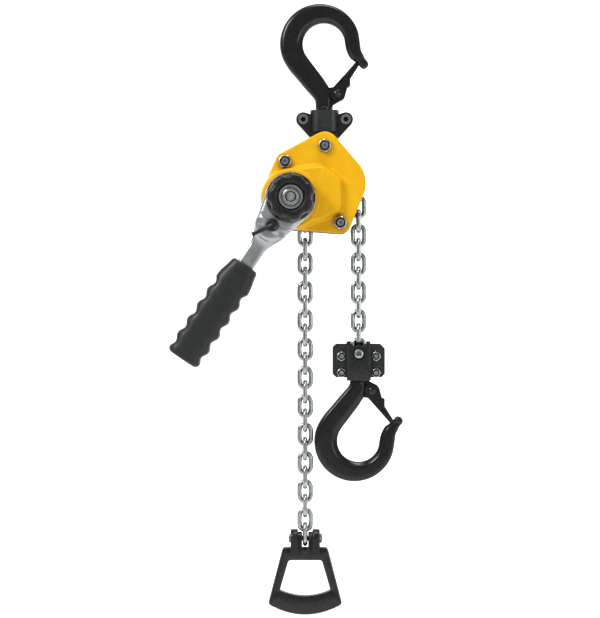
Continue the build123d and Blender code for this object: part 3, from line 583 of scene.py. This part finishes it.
# One half of the forged section, from its outer side (1) to its inner side (-1), against its thickness.
HOOK_SECTION = [(1.0, 0.0), (1.0, 0.22), (0.99, 0.42), (0.955, 0.62), (0.89, 0.79), (0.80, 0.91),
                (0.68, 0.98), (0.5, 1.0), (0.2, 1.0), (-0.15, 1.0), (-0.42, 1.0), (-0.50, 0.985),
                (-0.58, 0.93), (-0.74, 0.79), (-0.90, 0.63), (-0.97, 0.52), (-1.0, 0.38), (-1.0, 0.18),
                (-1.0, 0.0)]


def hook_stations():
    """Pairs of outer and inner points and a half thickness, from the neck round to the tip."""
    bowl = [(*polar(BACK_CENTRE, BACK_R, outer), *polar((0, 0), BOWL_R, inner), half)
            for outer, inner, half in BOWL_ROWS]
    return catmull(NECK_ROWS + bowl + TIP_ROWS, 7)


def hook_ring(row):
    """A forged section: flat-faced, fuller at the back, with its inner edge bevelled."""
    ox, oz, ix, iz, half = row
    cx, cz, ux, uz = (ox + ix) / 2, (oz + iz) / 2, (ox - ix) / 2, (oz - iz) / 2
    around = HOOK_SECTION + [(w, -t) for w, t in HOOK_SECTION[-2:0:-1]]
    return [(cx + ux * w, half * t, cz + uz * w) for w, t in around]


def add_hook(bm):
    """The forging from its neck to its tip, with the narrow seat that the latch straddles."""
    add_loft(bm, [hook_ring(row) for row in hook_stations()])
    seat = hull((*LATCH_PIVOT, 6.3), (3.0, -44.0, 7.0), (3.0, -49.0, 4.5), steps=48)
    add_slab(bm, seat, 3.5, -3.5, 0.7)


def add_stem(bm, x, z_neck, z_end, z_head, up):
    """The collar, stem and captive head beyond the neck; up is 1 or -1, towards the bowl."""
    collar = (7.4, z_neck + 1.2 * up, z_neck - 1.4 * up)
    chamfer = 0.4
    for radius, a, b in (collar, (5.5, z_neck, z_end), (9.0, z_head, z_end)):
        rings = []
        low, high = min(a, b), max(a, b)
        for r, z in ((radius - chamfer, low), (radius, low + chamfer), (radius, high - chamfer),
                     (radius - chamfer, high)):
            rings.append([(x + r * cos(2 * pi * i / 48), r * sin(2 * pi * i / 48), z) for i in range(48)])
        add_loft(bm, rings)


def move(bm, dx, dz, flip):
    """Place the vertices, turned over about X if asked."""
    for v in bm.verts:
        z = -v.co.z if flip else v.co.z
        y = -v.co.y if flip else v.co.y
        v.co = (v.co.x + dx, y, z + dz)


def hook_origin(joint, flip):
    """The bowl's centre, worked back from the latch's pivot."""
    x, z = pivot(joint)
    return (x - LATCH_PIVOT[0], z + (LATCH_PIVOT[1] if flip else -LATCH_PIVOT[1]))


def add_latch(bm):
    """Two cheeks around the hook's seat, the bridge that joins them, and the blade to the tip."""
    arm = hull((*LATCH_PIVOT, 6.5), LATCH_BEND, steps=48)
    add_slab(bm, arm, 5.6, 3.9, 0.5)
    add_slab(bm, arm, -3.9, -5.6, 0.5)
    add_slab(bm, hull((19.2, -29.6, 3.0), (20.4, -34.6, 1.8), steps=18), 5.55, -5.55, 0.3, 2)
    add_slab(bm, hull(LATCH_BEND, LATCH_END, steps=24), 2.2, -2.2, 0.5)


def add_rivet(bm):
    """A rivet with a dished dome at each end."""
    dome = [(2.0, 5.0), (3.2, 5.8), (3.1, 6.3), (2.4, 6.75), (1.3, 6.9), (0.9, 6.5), (0.0, 6.4)]
    add_turned(bm, LATCH_PIVOT, [(2.0, 0.0)] + dome, 32)
    add_turned(bm, LATCH_PIVOT, [(2.0, 0.0)] + [(r, -y) for r, y in dome], 32)


def hooks():
    """Both hooks with their latches and rivets; the bottom one is the top one turned over."""
    for end, flip in (("top", False), ("bottom", True)):
        dx, dz = hook_origin(f"{end}_latch_hinge", flip)
        low, high = extent(f"{end}_hook")
        for kind, adder, body in (("hook", add_hook, f"{end}_hook_body"),
                                  ("latch", add_latch, f"{end}_latch_body"),
                                  ("hook_rivet", add_rivet, f"{end}_hook_body")):
            bm = bmesh.new()
            adder(bm)
            move(bm, dx, dz, flip)
            if kind == "hook" and not flip:
                add_stem(bm, 0.0, dz + NECK_Z, low.z, low.z + 5.8, 1)
            if kind == "hook" and flip:
                axis = joints["bottom_hook_swivel"]["pos_m"][0] / MM
                add_stem(bm, axis, high.z - 16.6, high.z, high.z - 5.6, -1)
            piece = new_piece(f"{end}_{kind}_forging", bm, 40)
            place(piece, body, f"{end}_{kind}", MATERIALS["black_forging"])


# ---- lever ----
LEVER_HEAD_R, LEVER_TOE_R = 21.0, 14.0
LEVER_STATIONS = (26, 30, 34, 38, 42, 46, 50, 56, 64, 72, 90, 122)
ARROW = ((-2.4, -1.0), (1.2, -1.0), (1.2, -2.3), (4.0, 0.0), (1.2, 2.3), (1.2, 1.0), (-2.4, 1.0))


def lever_half_width(along):
    """Half the lever's width seen from the front, from the head down to the grip."""
    if along < 30:
        return 14.0
    return 7.1 + 7.6 * (1 - smooth_step(28, 50, along))


def lever():
    """The cast lever: a rounded head, a shank running into the grip, and two raised arrows."""
    low, high = extent("lever_arm")
    y_front, y_back = low.y, high.y
    bm = bmesh.new()
    rings = []
    for inset, y in ((0.0, y_back), (0.0, y_front + 3.4), (0.35, y_front + 1.9), (1.2, y_front + 0.8),
                     (2.6, y_front + 0.15), (4.2, y_front)):
        outline = hull((*SHAFT, LEVER_HEAD_R - inset), (*SELECTOR, LEVER_TOE_R - inset))
        rings.append([(x, y, z) for x, z in resample(outline, 160)])
    add_loft(bm, rings)
    rings = []
    for along in LEVER_STATIONS:
        half = lever_half_width(along)
        thick = 3.5 + 4.2 * (1 - smooth_step(30, 46, along))
        middle = (y_back - 3.5) - 2.6 * (1 - smooth_step(30, 46, along))
        ring = []
        for i in range(32):
            a = 2 * pi * i / 32
            x, z = on_lever(along, half * squared(cos(a), 0.4))
            ring.append((x, middle + thick * squared(sin(a), 0.45), z))
        rings.append(ring)
    add_loft(bm, rings)
    for side, turn_by in ((-1, 200), (1, 20)):
        cx, cz = on_lever(23.0, side * 10.9)
        a = radians(turn_by + LEVER_ANGLE + 90)
        raised = [(cx + px * cos(a) - pz * sin(a), cz + px * sin(a) + pz * cos(a)) for px, pz in ARROW]
        add_slab(bm, raised if turn(*raised[:3]) > 0 else raised[::-1], y_front + 1.5, y_front + 0.1, 0.3)
    piece = new_piece("lever_casting", bm, 32)
    place(piece, "lever", "lever_arm", MATERIALS["cast_lever"])


def resample(outline, count):
    """The lever head's outline redrawn at even angles about a point between its two ends."""
    centre = (SHAFT[0] * 0.6 + SELECTOR[0] * 0.4, SHAFT[1] * 0.6 + SELECTOR[1] * 0.4)
    angles = [360 * i / count for i in range(count)]
    return [polar(centre, ray_reach(centre, angle, outline), angle) for angle in angles]


# ---- grip, measured along the lever from the drive shaft ----
GRIP_START, GRIP_FULL, GRIP_TAIL, GRIP_END = 67.0, 86.5, 155.0, 161.0
GRIP_NARROW_R, GRIP_FLARE, GRIP_TAPER = 12.2, 3.4, 1.4
GROOVE_PITCH, GROOVE_DEPTH = 14.65, 2.7
FIRST_VALLEY = 93.0
GRIP_RINGS = 150


def flat_grip_width(along):
    """The grip's half width without its grooves: it flares, and draws in at its end."""
    return (GRIP_NARROW_R + GRIP_FLARE * smooth_step(GRIP_START, GRIP_FULL, along)
            - GRIP_TAPER * smooth_step(GRIP_TAIL, GRIP_END, along))


def grip_half_width(along):
    """The same half width, less the five finger grooves."""
    width = flat_grip_width(along)
    if FIRST_VALLEY - 7 < along < FIRST_VALLEY + 4.5 * GROOVE_PITCH:
        groove = 0.5 + 0.5 * cos(2 * pi * (along - FIRST_VALLEY) / GROOVE_PITCH)
        width -= GROOVE_DEPTH * groove ** 1.15 * smooth_step(FIRST_VALLEY - 7, FIRST_VALLEY - 3, along)
    return width


def grip():
    """The rubber grip, grooved at its two edges and flat between them."""
    low, high = extent("lever_grip")
    middle, thick = (low.y + high.y) / 2, (high.y - low.y) / 2
    rings = []
    for k in range(GRIP_RINGS + 1):
        along = GRIP_START + (GRIP_END - GRIP_START) * k / GRIP_RINGS
        end = min(along - GRIP_START, GRIP_END - along)
        shrink = 1.9 * max(0.0, 1 - end / 2.4) ** 2
        half = grip_half_width(along) - shrink
        deep = thick * (0.80 + 0.16 * smooth_step(GRIP_START, 100, along)) - shrink
        ring = []
        for i in range(72):
            a = 2 * pi * i / 72
            w = squared(cos(a), 0.55)
            groove_fade = abs(w) ** 3
            width = (flat_grip_width(along) - shrink) * (1 - groove_fade) + half * groove_fade
            x, z = on_lever(along, width * w)
            ring.append((x, middle + deep * squared(sin(a), 0.62), z))
        rings.append(ring)
    bm = bmesh.new()
    add_loft(bm, rings)
    piece = new_piece("grip_rubber", bm, 50)
    place(piece, "lever", "lever_grip", MATERIALS["black_rubber"])


# ---- handwheel and shaft end ----
SCALLOPS, SCALLOP_DEPTH, SCALLOP_HALF_ANGLE, FIRST_SCALLOP = 7, 2.0, 11.0, 100


def handwheel():
    """The free-chaining knob: a round base and seven shallow finger scallops rising from it."""
    low, high = extent("handwheel")
    y_back, y_front = high.y, low.y
    radius = (high.x - low.x) / 2
    profile = [(9.1, y_back), (radius - 0.5, y_back), (radius, y_back - 0.5), (radius, y_back - 2.6),
               (radius - 0.2, y_back - 3.2), (radius - 0.6, y_back - 3.8), (radius - 0.7, y_back - 6.0),
               (radius - 0.8, y_back - 10.0), (radius - 1.1, y_front + 2.2), (radius - 1.9, y_front + 0.9),
               (radius - 3.2, y_front + 0.2), (radius - 5.0, y_front), (12.6, y_front), (11.8, y_front + 0.3),
               (11.4, y_front + 1.2), (11.3, y_front + 7.0), (5.1, y_front + 7.2)]
    depth = (0, 0, 0, 0, 0.15, 0.7, 0.9, 0.95, 1.0, 1.0, 0.85, 0.45, 0, 0, 0, 0, 0)

    def scallop(angle, k):
        away = min(abs((angle - FIRST_SCALLOP + 360 / SCALLOPS * i + 180) % 360 - 180)
                   for i in range(SCALLOPS))
        return SCALLOP_DEPTH * depth[k] * exp(-(away / SCALLOP_HALF_ANGLE) ** 4)

    bm = bmesh.new()
    add_turned(bm, SHAFT, profile, 252, scallop)
    piece = new_piece("handwheel_knob", bm, 40)
    place(piece, "drive", "handwheel", MATERIALS["black_plastic"])


def shaft_end():
    """The hexagon nut, the shaft's end with its centre hole, and the grooved disc behind them."""
    low, high = extent("shaft_nut")
    tip, tip_r, hole_r = low.y + 0.2, 3.6, 2.3
    bm = bmesh.new()
    add_nut(bm, SHAFT, 13.0, 15, high.y, low.y + 0.9, 4.5, 0.9)
    add_turned(bm, SHAFT, [(tip_r, tip + 1.6), (tip_r, tip + 0.3), (tip_r - 0.3, tip), (hole_r + 0.3, tip),
                           (hole_r, tip + 0.3), (hole_r, tip + 1.6), (0.0, tip + 1.7)], 48)
    nut = new_piece("shaft_lock_nut", bm, 30)
    place(nut, "drive", "shaft_nut", MATERIALS["zinc_nut"])
    low, high = extent("handwheel_disc")
    radius = (high.x - low.x) / 2
    bm = bmesh.new()
    add_turned(bm, SHAFT, [(5.1, high.y), (radius - 0.3, high.y), (radius, high.y - 0.3),
                           (radius, low.y + 0.3), (radius - 0.3, low.y), (8.4, low.y), (8.1, low.y + 0.2),
                           (8.0, high.y - 0.3), (5.1, high.y - 0.2)], 72)
    disc = new_piece("knob_disc", bm, 30)
    place(disc, "drive", "handwheel_disc", MATERIALS["zinc_disc"])


# ---- selector ----
POINTER_LENGTH, POINTER_ANGLE = 18.0, LEVER_ANGLE - 30
POINTER_STEPS = 24
KNOB_R, KNOB_STEM_R = 5.3, 3.4
KNOB_BACK_Y, KNOB_FACE_Y = -30.0, -46.2


def selector():
    """The selector knob with its slim pointer, which widens at its tip."""
    lever_y = extent("lever_arm")[0].y
    tip = polar(SELECTOR, POINTER_LENGTH, POINTER_ANGLE)
    reach = (tip[0] - SELECTOR[0], tip[1] - SELECTOR[1])
    side = (-reach[1] / POINTER_LENGTH, reach[0] / POINTER_LENGTH)
    bm = bmesh.new()
    add_turned(bm, SELECTOR, [(KNOB_STEM_R, KNOB_BACK_Y), (KNOB_STEM_R, lever_y - 0.3),
                              (KNOB_R - 0.1, lever_y - 0.35), (KNOB_R, lever_y - 0.9), (KNOB_R, KNOB_FACE_Y),
                              (KNOB_R - 0.4, KNOB_FACE_Y - 0.6), (KNOB_R - 1.4, KNOB_FACE_Y - 0.8),
                              (KNOB_R - 2.1, KNOB_FACE_Y - 0.4), (KNOB_R - 2.7, KNOB_FACE_Y - 0.4)], 48)
    rings = []
    for k in range(POINTER_STEPS + 1):
        t = k / POINTER_STEPS
        x = SELECTOR[0] + reach[0] * (t * 1.06 - 0.05)
        z = SELECTOR[1] + reach[1] * (t * 1.06 - 0.05)
        half = 1.9 - 0.4 * t + 0.7 * smooth_step(0.88, 1.0, t)
        y = KNOB_FACE_Y + 0.72 * sin(pi * t)
        ring = []
        for i in range(20):
            a = 2 * pi * i / 20
            w, h = cos(a), sin(a)
            ring.append((x + side[0] * half * w, y - 1.0 + 1.3 * h, z + side[1] * half * w))
        rings.append(ring)
    add_loft(bm, rings)
    piece = new_piece("selector_lever", bm, 40)
    place(piece, "selector", "selector_knob", MATERIALS["black_plastic"])


# ---- end handle: half widths, and heights below its hinge ----
LOOP_TOP, LOOP_BOTTOM = 7.4, 55.3
LOOP_TOP_HALF, LOOP_BOTTOM_HALF = 19.0, 31.4
WINDOW_TOP, WINDOW_BOTTOM, WINDOW_DIP = 18.4, 43.4, 4.8
WINDOW_TOP_HALF, WINDOW_BOTTOM_HALF = 13.9, 21.2
LOOP_CENTRE, LOOP_HALF_DEPTH = 32.0, 4.8
LOOP_STEPS = 240
CHEEK_INNER, CHEEK_OUTER = 2.6, 12.4


def end_handle():
    """A four-sided loop with rounded rims, the two cheeks of its clevis, and the bridge between them."""
    low, high = extent("end_handle")
    x, z = (low.x + high.x) / 2, pivot("end_handle_hinge")[1]
    outer = loop_outline(x, z - LOOP_TOP, LOOP_TOP_HALF, z - LOOP_BOTTOM, LOOP_BOTTOM_HALF,
                         (2.6, 2.4, 2.4, 2.6), low.z)
    inner = loop_outline(x, z - WINDOW_TOP, WINDOW_TOP_HALF, z - WINDOW_BOTTOM, WINDOW_BOTTOM_HALF,
                         (1.4, 2.0, 2.0, 1.4), z - WINDOW_BOTTOM - WINDOW_DIP)
    centre = (x, z - LOOP_CENTRE)
    half = LOOP_HALF_DEPTH
    bm = bmesh.new()
    rings = []
    for inset, y in ((2.2, -half), (0.7, -half + 0.45), (0.0, -half + 1.9), (0.0, half - 1.9),
                     (0.7, half - 0.45), (2.2, half)):
        rings.append(radial_ring(outer, centre, -inset, y))
    for inset, y in ((2.0, half), (0.6, half - 0.45), (0.0, half - 1.6), (0.0, -half + 1.6),
                     (0.6, -half + 0.45), (2.0, -half)):
        rings.append(radial_ring(inner, centre, inset, y))
    rings.append(rings[0])
    add_loft(bm, rings, closed_ends=False)
    for side in (-1, 1):
        add_cheek(bm, x, z, side)
    add_bridge(bm, x, z)
    piece = new_piece("handle_loop", bm, 38)
    place(piece, "handle", "end_handle", MATERIALS["handle_plastic"])


def radial_ring(outline, centre, grow, y):
    """An outline grown outwards from a centre, at one depth."""
    ring = []
    for i in range(LOOP_STEPS):
        angle = 360 * i / LOOP_STEPS
        reach = ray_to(centre, angle, outline)
        px, pz = polar(centre, reach + grow, angle)
        ring.append((px, y, pz))
    return ring


def ray_to(centre, angle, outline):
    """The furthest crossing of a ray with any closed outline."""
    dx, dz = cos(radians(angle)), sin(radians(angle))
    best = 0.0
    count = len(outline)
    for i in range(count):
        a, b = outline[i], outline[(i + 1) % count]
        ex, ez = b[0] - a[0], b[1] - a[1]
        cross = dx * ez - dz * ex
        if abs(cross) < 1e-9:
            continue
        along = ((a[0] - centre[0]) * ez - (a[1] - centre[1]) * ex) / cross
        on_edge = ((a[0] - centre[0]) * dz - (a[1] - centre[1]) * dx) / cross
        if along > 0 and -1e-6 <= on_edge <= 1 + 1e-6:
            best = max(best, along)
    return best


def loop_outline(x, top, top_half, bottom, bottom_half, radii, arc_z):
    """A four-sided outline with rounded corners, closed below by an arc that dips to one height."""
    corners = [(x + bottom_half, bottom), (x + top_half, top), (x - top_half, top), (x - bottom_half, bottom)]
    arc = []
    for i in range(1, 24):
        px = -bottom_half + 2 * bottom_half * i / 24
        arc.append((x + px, bottom - (bottom - arc_z) * (1 - (px / bottom_half) ** 2)))
    around = [arc[-1]] + corners + [arc[0]]
    points = []
    for i, corner in enumerate(corners):
        before, after = around[i], around[i + 2]
        start = Vector(corner) + (Vector(before) - Vector(corner)).normalized() * radii[i]
        end = Vector(corner) + (Vector(after) - Vector(corner)).normalized() * radii[i]
        for k in range(7):
            t = k / 6
            p = start * (1 - t) ** 2 + Vector(corner) * 2 * t * (1 - t) + end * t * t
            points.append((p.x, p.y))
    return points + arc


def add_cheek(bm, x, z, side):
    """One ear of the clevis, rounded over the pin and running down into the loop."""
    rings = []
    thick = CHEEK_OUTER - CHEEK_INNER
    for inset, away in ((2.9, 0.0), (2.45, 0.3), (2.3, 0.8), (2.3, 3.5), (0.5, 3.55), (0.1, 3.9), (0.0, 4.4),
                        (0.0, thick - 1.0), (0.3, thick - 0.3), (1.0, thick)):
        px = x + side * (CHEEK_INNER + away)
        r = 7.9 - inset
        ring = [(px, r * cos(radians(a)), z + r * sin(radians(a))) for a in range(0, 181, 9)]
        flat = max(r, 7.5)
        ring += [(px, -flat, z - 5), (px, -flat, z - 14.3), (px, flat, z - 14.3), (px, flat, z - 5)]
        rings.append(ring)
    add_loft(bm, rings)


def add_bridge(bm, x, z):
    """The solid below the clevis slot."""
    half, floor, base = 3.4, z - 8.0, z - 14.2
    hollow = [(x + 2.7 * sin(radians(a)), floor - 1.2 * cos(radians(a))) for a in range(-75, 76, 15)]
    outline = [(x - half, floor)] + hollow + [(x + half, floor), (x + half, base), (x - half, base)]
    add_slab(bm, outline, 7.8, -7.8, 0.0)


# ---- carried-over CAD nodes ----
def finish_cad_nodes():
    """Every CAD node takes its slot's material, and the visible fittings get softened edges."""
    slot_of = {s["node"]: s["material_slot"] for s in frame["record"]["subparts"]}
    for name, obj in nodes.items():
        obj.data.materials.clear()
        obj.data.materials.append(MATERIALS[slot_of[name]])
    for name, finish in (("stay_bolts", "steel"), ("bottom_block_screws", "steel"),
                         ("yoke_screws", "black_screw")):
        nodes[name].data.materials[0] = MATERIALS[finish]
    for name in ("yoke_front", "yoke_rear", "bottom_block_front", "bottom_block_rear", "side_plate_front",
                 "side_plate_rear", "yoke_screws", "bottom_block_screws", "stay_bolts", "end_handle_nut",
                 "end_handle_bolt", "lever_back_plate"):
        bevel = nodes[name].modifiers.new("soft_edges", "BEVEL")
        bevel.width = 0.4 * MM
        bevel.segments = 2
        bevel.limit_method = "ANGLE"
        bevel.angle_limit = radians(38)
        bevel.harden_normals = True


# ---- studio, in metres ----
VIEW_CENTRE = Vector((-0.0207, 0.0, -0.2411))
CAMERA_DISTANCE, VIEW_SPAN = 1.7, 0.5222
WORLD_STRENGTH = 0.28
FLOOR_GAP = 0.06
# Each light's name, place from the view's centre, width and power.
LIGHTS = (("key", (-0.75, -0.9, 0.75), 0.45, 9.6), ("fill", (0.9, -1.1, 0.1), 0.5, 2.2),
          ("top", (0.1, -0.25, 0.95), 0.5, 5.0), ("rim", (0.7, 0.6, 0.2), 0.5, 2.6))
FLOOR_HALF_WIDTH, FLOOR_FRONT, FLOOR_BACK = 7.0, -6.0, 1.5
COVE_R, WALL_TOP = 1.2, 5.0
GLOW_FROM, GLOW_TO, GLOW = 0.15, 0.7, 1.05


def studio():
    """A straight-on camera, an even grey world and four soft lights."""
    scene = bpy.context.scene
    scene.view_settings.view_transform = "Standard"
    camera = bpy.data.cameras.new("camera")
    camera.lens = camera.sensor_width * CAMERA_DISTANCE / VIEW_SPAN
    holder = bpy.data.objects.new("camera", camera)
    holder.location = VIEW_CENTRE + Vector((0, -CAMERA_DISTANCE, 0))
    holder.rotation_euler = (radians(90), 0, 0)
    scene.collection.objects.link(holder)
    scene.camera = holder
    world = bpy.data.worlds.new("studio")
    world.use_nodes = True
    background = world.node_tree.nodes["Background"]
    background.inputs["Color"].default_value = (1, 1, 1, 1)
    background.inputs["Strength"].default_value = WORLD_STRENGTH
    scene.world = world
    backdrop(cad_box[0][2] - FLOOR_GAP)
    for name, spot, size, energy in LIGHTS:
        light = bpy.data.lights.new(name, "AREA")
        light.energy = energy
        light.size = size
        lamp = bpy.data.objects.new(name, light)
        lamp.location = VIEW_CENTRE + Vector(spot)
        lamp.rotation_euler = (VIEW_CENTRE - lamp.location).to_track_quat("-Z", "Y").to_euler()
        scene.collection.objects.link(lamp)


def backdrop(floor_z):
    """A pale floor that curves up into a wall far behind, glowing more towards the wall."""
    bm = bmesh.new()
    path = [(FLOOR_FRONT, 0.0), (FLOOR_BACK, 0.0)]
    path += [(FLOOR_BACK + COVE_R * sin(radians(a)), COVE_R - COVE_R * cos(radians(a)))
             for a in range(10, 91, 10)]
    path += [(FLOOR_BACK + COVE_R, WALL_TOP)]
    rows = [[bm.verts.new((x, y, floor_z + z)) for y, z in path]
            for x in (-FLOOR_HALF_WIDTH, FLOOR_HALF_WIDTH)]
    for i in range(len(path) - 1):
        bm.faces.new((rows[0][i], rows[1][i], rows[1][i + 1], rows[0][i + 1]))
    mesh = bpy.data.meshes.new("backdrop")
    for face in bm.faces:
        face.smooth = True
    bm.to_mesh(mesh)
    bm.free()
    floor = bpy.data.objects.new("backdrop", mesh)
    bpy.context.scene.collection.objects.link(floor)
    n = Nodes("backdrop")
    pale = n.ramp(n.noise(3), 0.3, 0.7, (0.93, 0.93, 0.93), (0.95, 0.95, 0.95))
    n.link(pale, n.shader.inputs["Base Color"])
    n.link(pale, n.shader.inputs["Emission Color"])
    spot = n.add("ShaderNodeTexCoord")
    parts = n.add("ShaderNodeSeparateXYZ")
    n.link(spot.outputs["Object"], parts.inputs["Vector"])
    glow = n.map_range(parts.outputs["Y"], (GLOW_FROM, GLOW_TO), (0.0, GLOW))
    n.link(glow, n.shader.inputs["Emission Strength"])
    n.shader.inputs["Roughness"].default_value = 0.9
    mesh.materials.append(n.material)


finish_cad_nodes()
covers()
stays()
block_nuts()
chain_pin()
hooks()
lever()
grip()
handwheel()
shaft_end()
selector()
end_handle()
studio()
